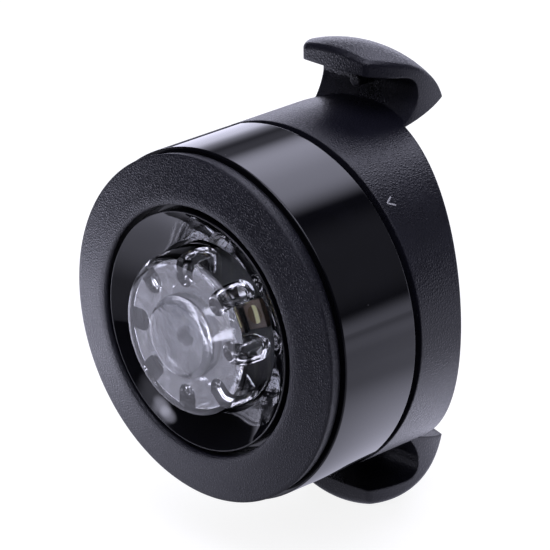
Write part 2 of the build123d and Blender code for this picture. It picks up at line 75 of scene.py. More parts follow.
class ButtonSkin(Enum):
    """The three finishes of the button, by their place in its list of materials."""

    CLEAR = 0
    ETCHED = 1
    CLOUDY = 2


@dataclass(frozen=True)
class Colour:
    """A linear colour with its three channels from 0 to 1."""

    red: float
    green: float
    blue: float

    def rgba(self) -> tuple[float, float, float, float]:
        """Returns the colour as a shader socket takes it."""
        return (self.red, self.green, self.blue, 1.0)

    def times(self, factor: float) -> "Colour":
        """Returns the colour made lighter or darker by a factor."""
        return Colour(self.red * factor, self.green * factor, self.blue * factor)


WHITE = Colour(1.0, 1.0, 1.0)
BLACK = Colour(0.0, 0.0, 0.0)


class NodeCanvas:
    """A short way to add and join the nodes of one tree."""

    def __init__(self, tree: bpy.types.NodeTree) -> None:
        """Starts on an empty tree.

        Args:
            tree: The node tree to build in. Its nodes are cleared.
        """
        self.tree = tree
        self.tree.nodes.clear()

    def add(self, kind: str, **values: object) -> bpy.types.Node:
        """Adds a node and sets its properties and inputs.

        Args:
            kind: Blender's name of the node type, such as "ShaderNodeTexNoise".
            **values: Properties by their name, and inputs by their label with spaces as underscores.

        Returns:
            The new node.
        """
        node = self.tree.nodes.new(kind)
        for name, value in values.items():
            if hasattr(node, name):
                setattr(node, name, value)
        for name, value in values.items():
            if not hasattr(node, name):
                self.feed(node, name.replace("_", " "), value)
        return node

    def feed(self, node: bpy.types.Node, label: str | int, value: object) -> None:
        """Sets an input of a node to a value, or joins an output to it.

        Args:
            node: The node that takes the value.
            label: The input's name or index.
            value: A number, a vector, a Colour, or an output socket.
        """
        socket = node.inputs[label]
        if isinstance(value, bpy.types.NodeSocket):
            self.tree.links.new(value, socket)
        elif isinstance(value, Colour):
            socket.default_value = value.rgba()
        else:
            socket.default_value = value

    def math(
        self, operation: str, first: object, second: object = 0.0, clamp: bool = False
    ) -> bpy.types.NodeSocket:
        """Joins two values by arithmetic.

        Args:
            operation: The Math node's operation.
            first: A number or an output socket.
            second: A number or an output socket.
            clamp: Whether the result is kept from 0 to 1.

        Returns:
            The result's output socket.
        """
        node = self.add("ShaderNodeMath", operation=operation, use_clamp=clamp)
        self.feed(node, 0, first)
        self.feed(node, 1, second)
        return node.outputs[0]

    def total(self, start: object, values: Iterable[object]) -> object:
        """Adds values up.

        Args:
            start: A number or an output socket.
            values: The numbers and output sockets that are added to it.

        Returns:
            The sum's output socket, or the start where there is nothing to add.
        """
        for value in values:
            start = self.math("ADD", start, value)
        return start

    def spread(
        self, value: object, low: float, high: float, to_low: float = 0.0, to_high: float = 1.0
    ) -> bpy.types.NodeSocket:
        """Maps a range of values smoothly to another range.

        Args:
            value: The output socket to map.
            low: The value that becomes to_low.
            high: The value that becomes to_high.
            to_low: The result at and below low.
            to_high: The result at and above high.

        Returns:
            The result's output socket.
        """
        node = self.add("ShaderNodeMapRange", interpolation_type="SMOOTHSTEP")
        for index, number in enumerate((value, low, high, to_low, to_high)):
            self.feed(node, index, number)
        return node.outputs[0]

    def vector(self, operation: str, first: object, second: object) -> bpy.types.Node:
        """Joins two vectors.

        Args:
            operation: The Vector Math node's operation.
            first: A vector or an output socket.
            second: A vector or an output socket.

        Returns:
            The node, which has a vector result first and a number result named Value.
        """
        node = self.add("ShaderNodeVectorMath", operation=operation)
        self.feed(node, 0, first)
        self.feed(node, 1, second)
        return node

    def mix(self, mask: bpy.types.NodeSocket, first: object, second: object) -> bpy.types.NodeSocket:
        """Mixes two colours by a mask.

        Args:
            mask: 0 where the first colour shows and 1 where the second does.
            first: The colour at 0, or its output socket.
            second: The colour at 1, or its output socket.

        Returns:
            The mixed colour's socket.
        """
        node = self.add("ShaderNodeMix", data_type="RGBA")
        self.feed(node, MIX_FACTOR, mask)
        self.feed(node, MIX_FIRST_COLOUR, first)
        self.feed(node, MIX_SECOND_COLOUR, second)
        return node.outputs[MIX_COLOUR_RESULT]


class EffectGroup:
    """A shader effect that several finishes share, built once as a node group."""

    def __init__(self, name: str, inputs: dict[str, float], outputs: dict[str, Result]) -> None:
        """Makes an empty group with its sockets.

        Args:
            name: The group's name.
            inputs: The default of each number that goes in.
            outputs: The kind of each result.
        """
        self.tree = bpy.data.node_groups.new(name, "ShaderNodeTree")
        self.canvas = NodeCanvas(self.tree)
        for label, default in inputs.items():
            socket = self.tree.interface.new_socket(label, in_out="INPUT", socket_type=Result.MASK.value)
            socket.default_value = default
        for label, kind in outputs.items():
            self.tree.interface.new_socket(label, in_out="OUTPUT", socket_type=kind.value)
        self.given = self.canvas.add("NodeGroupInput")
        self.result = self.canvas.add("NodeGroupOutput")

    def value(self, label: str) -> bpy.types.NodeSocket:
        """Returns the socket of one number that goes in."""
        return self.given.outputs[label]

    def put_out(self, label: str, socket: bpy.types.NodeSocket) -> None:
        """Joins a result to the group's output."""
        self.tree.links.new(socket, self.result.inputs[label])


@dataclass(frozen=True)
class LeatherGrain:
    """The moulded leather-like grain: small uneven pads with fine valleys between them."""

    pads_per_metre: float = 2400.0
    unevenness: float = 0.35
    crown_reach: float = 0.42
    valley_reach: float = 0.16
    lumps_per_pad: float = 2.6
    lump_height: float = 0.35
    patches_per_metre: float = 90.0
    patch_range: tuple[float, float] = (0.35, 0.65)

    def build(self) -> bpy.types.NodeTree:
        """Builds the group.

        Returns:
            The group, with a height, a valley mask and a slow patch mask.
        """
        group = EffectGroup(
            "Leather grain",
            {"Pads per metre": self.pads_per_metre, "Unevenness": self.unevenness},
            {"Height": Result.MASK, "Valleys": Result.MASK, "Patches": Result.MASK},
        )
        canvas = group.canvas
        density = group.value("Pads per metre")
        place = canvas.add("ShaderNodeTexCoord").outputs["Object"]
        wobble = canvas.add("ShaderNodeTexNoise", Vector=place, Scale=density, Detail=2.0)
        shift = canvas.add("ShaderNodeVectorMath", operation="SCALE")
        canvas.feed(shift, 0, wobble.outputs["Color"])
        canvas.feed(shift, "Scale", canvas.math("DIVIDE", group.value("Unevenness"), density))
        moved = canvas.vector("ADD", place, shift.outputs[0]).outputs[0]
        pads = canvas.add("ShaderNodeTexVoronoi", feature="DISTANCE_TO_EDGE", Vector=moved, Scale=density)
        from_edge = pads.outputs["Distance"]
        fine = canvas.add("ShaderNodeTexNoise", Vector=place, Detail=3.0, Roughness=0.6)
        canvas.feed(fine, "Scale", canvas.math("MULTIPLY", density, self.lumps_per_pad))
        crown = canvas.spread(from_edge, 0.0, self.crown_reach)
        lift = canvas.math("MULTIPLY", fine.outputs["Fac"], self.lump_height)
        group.put_out("Height", canvas.math("ADD", crown, lift))
        group.put_out("Valleys", canvas.spread(from_edge, 0.0, self.valley_reach, 1.0, 0.0))
        slow = canvas.add(
            "ShaderNodeTexNoise", Vector=place, Scale=self.patches_per_metre, Detail=4.0, Roughness=0.6
        )
        group.put_out("Patches", canvas.spread(slow.outputs["Fac"], *self.patch_range))
        return group.tree


@dataclass(frozen=True)
class HandlingMarks:
    """The faint marks of handling on smooth plastic: hair scratches, smears and dust."""

    dust: float = 1.0
    smears_per_metre: float = 140.0
    smear_range: tuple[float, float] = (0.42, 0.72)
    hair_turn: tuple[float, float, float] = (0.5, 0.9, 0.3)
    hairs_per_metre: tuple[float, float, float] = (420.0, 9000.0, 700.0)
    hair_range: tuple[float, float] = (0.70, 0.78)
    specks_per_metre: float = 650.0
    speck_edge: tuple[float, float] = (0.03, 0.09)
    empty_share: float = 0.86
    waves_per_metre: float = 45.0
    swirls_per_metre: float = 330.0
    swirl_bend: float = 1.2

    def build(self) -> bpy.types.NodeTree:
        """Builds the group.

        Returns:
            The group, with masks of smears, scratches and dust, and a slow wave and a swirl for relief.
        """
        labels = ("Smears", "Scratches", "Dust", "Wave", "Swirl")
        group = EffectGroup("Handling marks", {"Dust": self.dust}, dict.fromkeys(labels, Result.MASK))
        canvas = group.canvas
        place = canvas.add("ShaderNodeTexCoord").outputs["Object"]
        smear = canvas.add(
            "ShaderNodeTexNoise", Vector=place, Scale=self.smears_per_metre, Detail=5.0, Roughness=0.62
        )
        group.put_out("Smears", canvas.spread(smear.outputs["Fac"], *self.smear_range))
        stretch = canvas.add("ShaderNodeMapping", Vector=place)
        canvas.feed(stretch, "Rotation", self.hair_turn)
        canvas.feed(stretch, "Scale", self.hairs_per_metre)
        hairs = canvas.add("ShaderNodeTexNoise", Vector=stretch.outputs[0], Scale=1.0, Detail=2.0)
        group.put_out("Scratches", canvas.spread(hairs.outputs["Fac"], *self.hair_range))
        specks = canvas.add("ShaderNodeTexVoronoi", Vector=place, Scale=self.specks_per_metre)
        near = canvas.spread(specks.outputs["Distance"], *self.speck_edge, 1.0, 0.0)
        chance = canvas.add("ShaderNodeTexWhiteNoise", noise_dimensions="3D")
        canvas.feed(chance, "Vector", specks.outputs["Position"])
        few = canvas.math("GREATER_THAN", chance.outputs["Value"], self.empty_share)
        some = canvas.math("MULTIPLY", near, few)
        group.put_out("Dust", canvas.math("MULTIPLY", some, group.value("Dust")))
        wave = canvas.add("ShaderNodeTexNoise", Vector=place, Scale=self.waves_per_metre, Detail=1.0)
        group.put_out("Wave", wave.outputs["Fac"])
        swirl = canvas.add("ShaderNodeTexNoise", Vector=place, Scale=self.swirls_per_metre, Detail=3.0)
        canvas.feed(swirl, "Distortion", self.swirl_bend)
        group.put_out("Swirl", swirl.outputs["Fac"])
        return group.tree


@dataclass(frozen=True)
class SoftEdges:
    """Softly rounded edges and a mask of the worn ones, broken up as real wear is."""

    width: float = 0.2 * MM
    amount: float = 1.0
    samples: int = 4
    edge_turn: tuple[float, float] = (0.90, 0.995)
    rubs_per_metre: float = 900.0
    rub_range: tuple[float, float] = (0.38, 0.62)

    def build(self) -> bpy.types.NodeTree:
        """Builds the group.

        Returns:
            The group, with a mask that is 1 on worn edges and a normal that turns softly over every edge.
        """
        group = EffectGroup(
            "Soft edges and wear",
            {"Width": self.width, "Amount": self.amount},
            {"Wear": Result.MASK, "Normal": Result.NORMAL},
        )
        canvas = group.canvas
        place = canvas.add("ShaderNodeTexCoord").outputs["Object"]
        soft = canvas.add("ShaderNodeBevel", samples=self.samples, Radius=group.value("Width")).outputs[0]
        flat = canvas.add("ShaderNodeNewGeometry").outputs["Normal"]
        turn = canvas.vector("DOT_PRODUCT", soft, flat).outputs["Value"]
        edge = canvas.spread(turn, *self.edge_turn, 1.0, 0.0)
        rub = canvas.add("ShaderNodeTexNoise", Vector=place, Scale=self.rubs_per_metre, Detail=4.0)
        broken = canvas.spread(rub.outputs["Fac"], *self.rub_range)
        worn = canvas.math("MULTIPLY", edge, broken)
        group.put_out("Wear", canvas.math("MULTIPLY", worn, group.value("Amount")))
        group.put_out("Normal", soft)
        return group.tree


class Effects:
    """The shared shader effects, each built once."""

    def __init__(self) -> None:
        """Builds the groups."""
        self.grain = LeatherGrain().build()
        self.handling = HandlingMarks().build()
        self.edges = SoftEdges().build()


class Finish:
    """One material with a surface shader and helpers for effects, roughness and relief."""

    def __init__(self, name: str) -> None:
        """Makes the material and its shader.

        Args:
            name: The material's name.
        """
        self.material = bpy.data.materials.new(name)
        self.material.use_nodes = True
        self.canvas = NodeCanvas(self.material.node_tree)
        self.shader = self.canvas.add("ShaderNodeBsdfPrincipled")
        output = self.canvas.add("ShaderNodeOutputMaterial")
        self.canvas.feed(output, "Surface", self.shader.outputs[0])

    def effect(self, tree: bpy.types.NodeTree, **values: float) -> dict[str, bpy.types.NodeSocket]:
        """Puts a shared effect into the material.

        Args:
            tree: The effect's group.
            **values: The material's own values, with spaces as underscores.

        Returns:
            The effect's results, by their labels.
        """
        node = self.canvas.add("ShaderNodeGroup", node_tree=tree)
        for label, value in values.items():
            self.canvas.feed(node, label.replace("_", " "), value)
        return {socket.name: socket for socket in node.outputs}

    def constant(self, **values: object) -> None:
        """Feeds the shader's own sockets, with spaces as underscores."""
        for label, value in values.items():
            self.canvas.feed(self.shader, label.replace("_", " "), value)

    def roughen(self, plain: float, *shares: tuple[bpy.types.NodeSocket, float]) -> None:
        """Sets the roughness.

        Args:
            plain: The roughness where no mask shows.
            *shares: Masks, each with the roughness that it adds.
        """
        added = [self.canvas.math("MULTIPLY", mask, share) for mask, share in shares]
        self.canvas.feed(self.shader, "Roughness", self.canvas.total(plain, added))

    def relief(self, height: bpy.types.NodeSocket, under: bpy.types.NodeSocket, depth: float) -> None:
        """Lays a relief on the surface.

        Args:
            height: The height, from about 0 to 1.
            under: The normal that the relief lies on.
            depth: The real depth of the relief in metres.
        """
        bump = self.canvas.add("ShaderNodeBump", Height=height, Normal=under, Distance=depth)
        self.canvas.feed(self.shader, "Normal", bump.outputs[0])


@dataclass(frozen=True)
class GrainedBlack:
    """Matte black plastic with a moulded leather grain, as on the bezel and the rear housing."""

    name: str
    pads_per_metre: float
    depth: float
    roughness: float
    edge_width: float
    base: Colour = Colour(0.0075, 0.0075, 0.0125)
    patch_gain: float = 1.35
    wear: float = 0.25
    worn: Colour = Colour(0.05, 0.05, 0.06)
    dust: float = 0.35
    dust_colour: Colour = Colour(0.3, 0.3, 0.3)
    ior: float = 1.5
    valley_roughness: float = 0.14
    patch_roughness: float = 0.05

    def build(self, effects: Effects) -> bpy.types.Material:
        """Builds the material.

        Args:
            effects: The shared effects.

        Returns:
            The finished material.
        """
        finish = Finish(self.name)
        canvas = finish.canvas
        grain = finish.effect(effects.grain, Pads_per_metre=self.pads_per_metre)
        marks = finish.effect(effects.handling, Dust=self.dust)
        edges = finish.effect(effects.edges, Width=self.edge_width, Amount=self.wear)
        body = canvas.mix(grain["Patches"], self.base, self.base.times(self.patch_gain))
        aged = canvas.mix(edges["Wear"], body, self.worn)
        finish.constant(Base_Color=canvas.mix(marks["Dust"], aged, self.dust_colour), IOR=self.ior)
        valleys = (grain["Valleys"], self.valley_roughness)
        finish.roughen(self.roughness, valleys, (grain["Patches"], self.patch_roughness))
        finish.relief(grain["Height"], edges["Normal"], self.depth)
        return finish.material


@dataclass(frozen=True)
class PolishedBlack:
    """Mirror-black plastic, as on the sleeve and the dish round the button."""

    name: str = "Polished black plastic"
    base: Colour = Colour(0.0035, 0.0035, 0.0048)
    smear_gain: float = 1.5
    edge_width: float = 0.15 * MM
    wear: float = 0.4
    worn: Colour = Colour(0.05, 0.05, 0.055)
    dust: float = 0.5
    dust_colour: Colour = Colour(0.2, 0.2, 0.2)
    ior: float = 1.55
    roughness: float = 0.035
    smear_roughness: float = 0.018
    scratch_roughness: float = 0.05
    wave_depth: float = 0.004 * MM

    def build(self, effects: Effects) -> bpy.types.Material:
        """Builds the material.

        Args:
            effects: The shared effects.

        Returns:
            The finished material.
        """
        finish = Finish(self.name)
        canvas = finish.canvas
        marks = finish.effect(effects.handling, Dust=self.dust)
        edges = finish.effect(effects.edges, Width=self.edge_width, Amount=self.wear)
        body = canvas.mix(marks["Smears"], self.base, self.base.times(self.smear_gain))
        aged = canvas.mix(edges["Wear"], body, self.worn)
        finish.constant(Base_Color=canvas.mix(marks["Dust"], aged, self.dust_colour), IOR=self.ior)
        smears = (marks["Smears"], self.smear_roughness)
        finish.roughen(self.roughness, smears, (marks["Scratches"], self.scratch_roughness))
        finish.relief(marks["Wave"], edges["Normal"], self.wave_depth)
        return finish.material


@dataclass(frozen=True)
class ClearPlastic:
    """Clear plastic of the button, polished, finely etched or cloudy by its values."""

    name: str
    roughness: float
    swirl_depth: float
    clearness: float
    clean: Colour = Colour(0.985, 0.99, 1.0)
    smeared: Colour = Colour(0.95, 0.955, 0.97)
    ior: float = 1.49
    edge_width: float = 0.1 * MM
    smear_roughness: float = 0.03
    scratch_roughness: float = 0.05

    def build(self, effects: Effects) -> bpy.types.Material:
        """Builds the material.

        Args:
            effects: The shared effects.

        Returns:
            The finished material.
        """
        finish = Finish(self.name)
        marks = finish.effect(effects.handling)
        edges = finish.effect(effects.edges, Width=self.edge_width)
        tint = finish.canvas.mix(marks["Smears"], self.clean, self.smeared)
        finish.constant(Base_Color=tint, IOR=self.ior, Metallic=0.0, Transmission_Weight=self.clearness)
        smears = (marks["Smears"], self.smear_roughness)
        finish.roughen(self.roughness, smears, (marks["Scratches"], self.scratch_roughness))
        finish.relief(marks["Swirl"], edges["Normal"], self.swirl_depth)
        return finish.material


@dataclass(frozen=True)
class PlainSolid:
    """A simple finish for seals, mouldings, boards and small parts, with fine grain and handling marks."""

    name: str
    base: Colour
    roughness: float
    patch_gain: float = 1.3
    pads_per_metre: float = 5000.0
    depth: float = 0.01 * MM
    edge_width: float = 0.15 * MM
    wear: float = 0.4
    wear_gain: float = 1.8
    smear_roughness: float = 0.08
    scratch_roughness: float = 0.06

    def build(self, effects: Effects) -> bpy.types.Material:
        """Builds the material.

        Args:
            effects: The shared effects.

        Returns:
            The finished material.
        """
        finish = Finish(self.name)
        canvas = finish.canvas
        grain = finish.effect(effects.grain, Pads_per_metre=self.pads_per_metre)
        marks = finish.effect(effects.handling)
        edges = finish.effect(effects.edges, Width=self.edge_width, Amount=self.wear)
        body = canvas.mix(grain["Patches"], self.base, self.base.times(self.patch_gain))
        finish.constant(Base_Color=canvas.mix(edges["Wear"], body, self.base.times(self.wear_gain)))
        smears = (marks["Smears"], self.smear_roughness)
        finish.roughen(self.roughness, smears, (marks["Scratches"], self.scratch_roughness))
        finish.relief(grain["Height"], edges["Normal"], self.depth)
        return finish.material


@dataclass(frozen=True)
class BrushedMetal:
    """Metal with fine lines turned round the light's axis or drawn along it."""

    name: str
    base: Colour
    roughness: float
    cut: Cut = Cut.TURNED
    lines_per_metre: float = 2200.0
    line_wander: float = 1.5
    line_depth: float = 0.0016 * MM
    line_roughness: float = 0.07
    smear_gain: float = 0.8
    smear_roughness: float = 0.1
    edge_width: float = 0.15 * MM
    wear: float = 0.5
    wear_gain: float = 1.2

    def build(self, effects: Effects) -> bpy.types.Material:
        """Builds the material.

        Args:
            effects: The shared effects.

        Returns:
            The finished material.
        """
        finish = Finish(self.name)
        canvas = finish.canvas
        place = canvas.add("ShaderNodeTexCoord").outputs["Object"]
        wave = canvas.add("ShaderNodeTexWave", wave_type=self.cut.value, rings_direction="Y", Vector=place)
        canvas.feed(wave, "Scale", self.lines_per_metre)
        canvas.feed(wave, "Distortion", self.line_wander)
        canvas.feed(wave, "Detail", 3.0)
        lines = wave.outputs["Fac"]
        marks = finish.effect(effects.handling)
        edges = finish.effect(effects.edges, Width=self.edge_width, Amount=self.wear)
        body = canvas.mix(marks["Smears"], self.base, self.base.times(self.smear_gain))
        aged = canvas.mix(edges["Wear"], body, self.base.times(self.wear_gain))
        finish.constant(Base_Color=aged, Metallic=1.0)
        finish.roughen(self.roughness, (lines, self.line_roughness), (marks["Smears"], self.smear_roughness))
        finish.relief(lines, edges["Normal"], self.line_depth)
        return finish.material


@dataclass(frozen=True)
class CircuitBoardWithPaintedShade:
    """Dark solder mask with copper tracks under it, coloured darker still as painted shade inside the head.
    """

    name: str = "Circuit board with painted shade"
    # These colours are a dark board's own, made darker still as painted shade of the head's inside.
    mask: Colour = Colour(0.004, 0.006, 0.005)
    track: Colour = Colour(0.014, 0.016, 0.01)
    tracks_per_metre: float = 260.0
    track_width: float = 0.06
    track_depth: float = 0.02 * MM
    dust: float = 0.5
    dust_colour: Colour = Colour(0.3, 0.3, 0.3)
    roughness: float = 0.5
    smear_roughness: float = 0.1
    edge_width: float = 0.15 * MM

    def build(self, effects: Effects) -> bpy.types.Material:
        """Builds the material.

        Args:
            effects: The shared effects.

        Returns:
            The finished material.
        """
        finish = Finish(self.name)
        canvas = finish.canvas
        place = canvas.add("ShaderNodeTexCoord").outputs["Object"]
        bricks = canvas.add("ShaderNodeTexBrick", Vector=place, Scale=self.tracks_per_metre)
        canvas.feed(bricks, "Mortar Size", self.track_width)
        tracks = bricks.outputs["Fac"]
        marks = finish.effect(effects.handling, Dust=self.dust)
        edges = finish.effect(effects.edges, Width=self.edge_width)
        body = canvas.mix(tracks, self.mask, self.track)
        finish.constant(Base_Color=canvas.mix(marks["Dust"], body, self.dust_colour))
        finish.roughen(self.roughness, (marks["Smears"], self.smear_roughness))
        finish.relief(tracks, edges["Normal"], self.track_depth)
        return finish.material


@dataclass(frozen=True)
class PhosphorCup:
    """Amber cup of a light source with a pale bar: phosphor yellow brightened as a painted highlight."""

    name: str = "Phosphor cup with painted highlight"
    amber: Colour = Colour(0.1, 0.06, 0.02)
    # The pale colour is phosphor yellow pushed brighter as a painted highlight.
    pale_and_painted_highlight: Colour = Colour(0.95, 0.92, 0.5)
    bar_circle: float = 4.9 * MM
    bar_half_width: float = 0.45 * MM
    bar_core: float = 0.5
    roughness: float = 0.35
    smear_roughness: float = 0.1

    def build(self, effects: Effects) -> bpy.types.Material:
        """Builds the material.

        Args:
            effects: The shared effects.

        Returns:
            The finished material.
        """
        finish = Finish(self.name)
        canvas = finish.canvas
        place = canvas.add("ShaderNodeTexCoord").outputs["Object"]
        flat = canvas.vector("MULTIPLY", place, (1.0, 0.0, 1.0)).outputs[0]
        reach = canvas.add("ShaderNodeVectorMath", operation="LENGTH")
        canvas.feed(reach, 0, flat)
        off = canvas.math("ABSOLUTE", canvas.math("SUBTRACT", reach.outputs["Value"], self.bar_circle))
        core = self.bar_half_width * self.bar_core
        # The bar is partly the phosphor's own colour and partly a painted highlight.
        bar = canvas.spread(off, core, self.bar_half_width, 1.0, 0.0)
        marks = finish.effect(effects.handling)
        finish.constant(Base_Color=canvas.mix(bar, self.amber, self.pale_and_painted_highlight))
        finish.roughen(self.roughness, (marks["Smears"], self.smear_roughness))
        return finish.material


class Finishes:
    """All materials of the light, by the part of it that they are made for."""

    def __init__(self, effects: Effects) -> None:
        """Builds every material.

        Args:
            effects: The shared effects.
        """
        haze = Colour(0.72, 0.74, 0.77)
        rubber = Colour(0.006, 0.006, 0.008)
        moulding = Colour(0.018, 0.018, 0.02)
        bone = Colour(0.62, 0.6, 0.56)
        package = Colour(0.07, 0.05, 0.035)
        chip = Colour(0.02, 0.02, 0.022)
        paint = Colour(0.5, 0.5, 0.5)
        steel = Colour(0.56, 0.56, 0.55)
        gold = Colour(0.83, 0.58, 0.22)
        self.bezel = GrainedBlack(
            name="Grained bezel plastic",
            pads_per_metre=3200.0,
            depth=0.03 * MM,
            roughness=0.29,
            edge_width=0.7 * MM,
        ).build(effects)
        self.housing = GrainedBlack(
            name="Grained housing plastic",
            pads_per_metre=2700.0,
            depth=0.02 * MM,
            roughness=0.27,
            edge_width=0.3 * MM,
        ).build(effects)
        self.gloss = PolishedBlack().build(effects)
        self.clear = ClearPlastic(
            name="Clear plastic", roughness=0.015, swirl_depth=0.004 * MM, clearness=1.0
        ).build(effects)
        self.etched = ClearPlastic(
            name="Etched clear plastic", roughness=0.12, swirl_depth=0.12 * MM, clearness=0.9, smeared=haze
        ).build(effects)
        self.cloudy = ClearPlastic(
            name="Cloudy clear plastic", roughness=0.22, swirl_depth=0.2 * MM, clearness=0.74, smeared=haze
        ).build(effects)
        self.rubber = PlainSolid("Seal rubber", rubber, roughness=0.55).build(effects)
        self.moulding = PlainSolid("Inner moulding", moulding, roughness=0.45).build(effects)
        self.switch_stem = PlainSolid("Switch stem plastic", bone, roughness=0.4).build(effects)
        self.switch_case = BrushedMetal(
            "Switch case steel", steel, roughness=0.3, cut=Cut.DRAWN
        ).build(effects)
        self.board = CircuitBoardWithPaintedShade().build(effects)
        self.led_body = PlainSolid("Light package", package, roughness=0.3, patch_gain=3.5).build(effects)
        self.phosphor = PhosphorCup().build(effects)
        self.chip = PlainSolid("Chip plastic", chip, roughness=0.5).build(effects)
        self.screw = BrushedMetal("Screw steel", steel.times(0.9), roughness=0.25).build(effects)
        self.gold = BrushedMetal("Gold plating", gold, roughness=0.18).build(effects)
        self.cell = BrushedMetal("Cell steel", steel, roughness=0.22).build(effects)
        self.strip = BrushedMetal(
            "Contact strip", steel.times(1.1), roughness=0.2, cut=Cut.DRAWN
        ).build(effects)
        self.mark = PlainSolid("Mark paint", paint, roughness=0.4, patch_gain=0.9).build(effects)


def dress(nodes: Iterable[str], material: bpy.types.Material) -> None:
    """Gives carried-over nodes their finish.

    Args:
        nodes: The nodes' names.
        material: The finish for all of them.
    """
    for name in nodes:
        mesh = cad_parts[name].data
        mesh.materials.clear()
        mesh.materials.append(material)
        for polygon in mesh.polygons:
            polygon.material_index = 0
        log.info("dressed %s in %s", name, material.name)


def add_piece(name: str, mesh: bpy.types.Mesh, material: bpy.types.Material, body: Body) -> None:
    """Adds a finished mesh to the scene as a piece that rides on a body.

    Args:
        name: The piece's name.
        mesh: Its mesh, in the row frame.
        material: Its finish.
        body: What it moves with.
    """
    piece = bpy.data.objects.new(name, mesh)
    bpy.context.scene.collection.objects.link(piece)
    mesh.materials.clear()
    mesh.materials.append(material)
    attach(piece, body.value)
    log.info("built %s with %d faces", name, len(mesh.polygons))


@dataclass
class HeadShell:
    """The bezel, its seal, the sleeve, the dish and the moulding behind them."""

    finishes: Finishes

    def build(self) -> None:
        """Dresses the head's nodes."""
        dress(["front_bezel"], self.finishes.bezel)
        dress(["bezel_seal", "crown_gasket"], self.finishes.rubber)
        dress(["body_sleeve", "bowl_insert"], self.finishes.gloss)
        dress(["head_carrier"], self.finishes.moulding)


@dataclass
class LightEngine:
    """The board with its light sources, switch, chips, pins and screws."""

    finishes: Finishes

    def build(self) -> None:
        """Dresses the nodes round the board."""
        dress(["led_board"], self.finishes.board)
        dress(["led_packages"], self.finishes.led_body)
        dress(["led_phosphors"], self.finishes.phosphor)
        dress(["switch_body"], self.finishes.switch_case)
        dress(["switch_stem"], self.finishes.switch_stem)
        dress(["driver_chips"], self.finishes.chip)
        dress(["board_screws"], self.finishes.screw)
        dress(["centre_pin", "rim_pin"], self.finishes.gold)


@dataclass
class Button:
    """The clear push button with ribs inside and a raised lens in its middle.

    A face of it counts as looking forward or back where its normal leans along Y by more than facing.
    lens_rise and face_wall are the solid's own sizes, lens_hollow and post_radius lie just past its
    hollow and its post, and the cloudy finish ends at lens_radius, where the lens's shoulder starts.
    """

    finishes: Finishes
    lens_rise: float = 0.95 * MM
    face_wall: float = 1.2 * MM
    lens_hollow: float = 0.65 * MM
    post_radius: float = 1.6 * MM
    lens_radius: float = 4.2 * MM
    facing: float = 0.5

    def build(self) -> None:
        """Dresses the button."""
        dress(["crown_lens"], self.finishes.clear)
        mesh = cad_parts["crown_lens"].data
        mesh.materials.append(self.finishes.etched)
        mesh.materials.append(self.finishes.cloudy)
        front = min(vertex.co.y for vertex in mesh.vertices)
        deepest = front + self.lens_rise + self.face_wall + self.lens_hollow
        for polygon in mesh.polygons:
            polygon.material_index = self.skin(polygon, deepest).value

    def skin(self, polygon: bpy.types.MeshPolygon, deepest: float) -> ButtonSkin:
        """Chooses the finish of one face: cloudy lens and post, etched inner side, clear for the rest.

        Args:
            polygon: The face.
            deepest: Y of the deepest place behind the lens.

        Returns:
            The face's finish.
        """
        centre = polygon.center
        radius = math.hypot(centre.x, centre.z)
        in_front = centre.y < deepest
        on_lens = in_front and abs(polygon.normal.y) > self.facing and radius < self.lens_radius
        on_post = centre.y > deepest and radius < self.post_radius
        if on_lens or on_post:
            return ButtonSkin.CLOUDY
        if in_front and polygon.normal.y > self.facing:
            return ButtonSkin.ETCHED
        return ButtonSkin.CLEAR


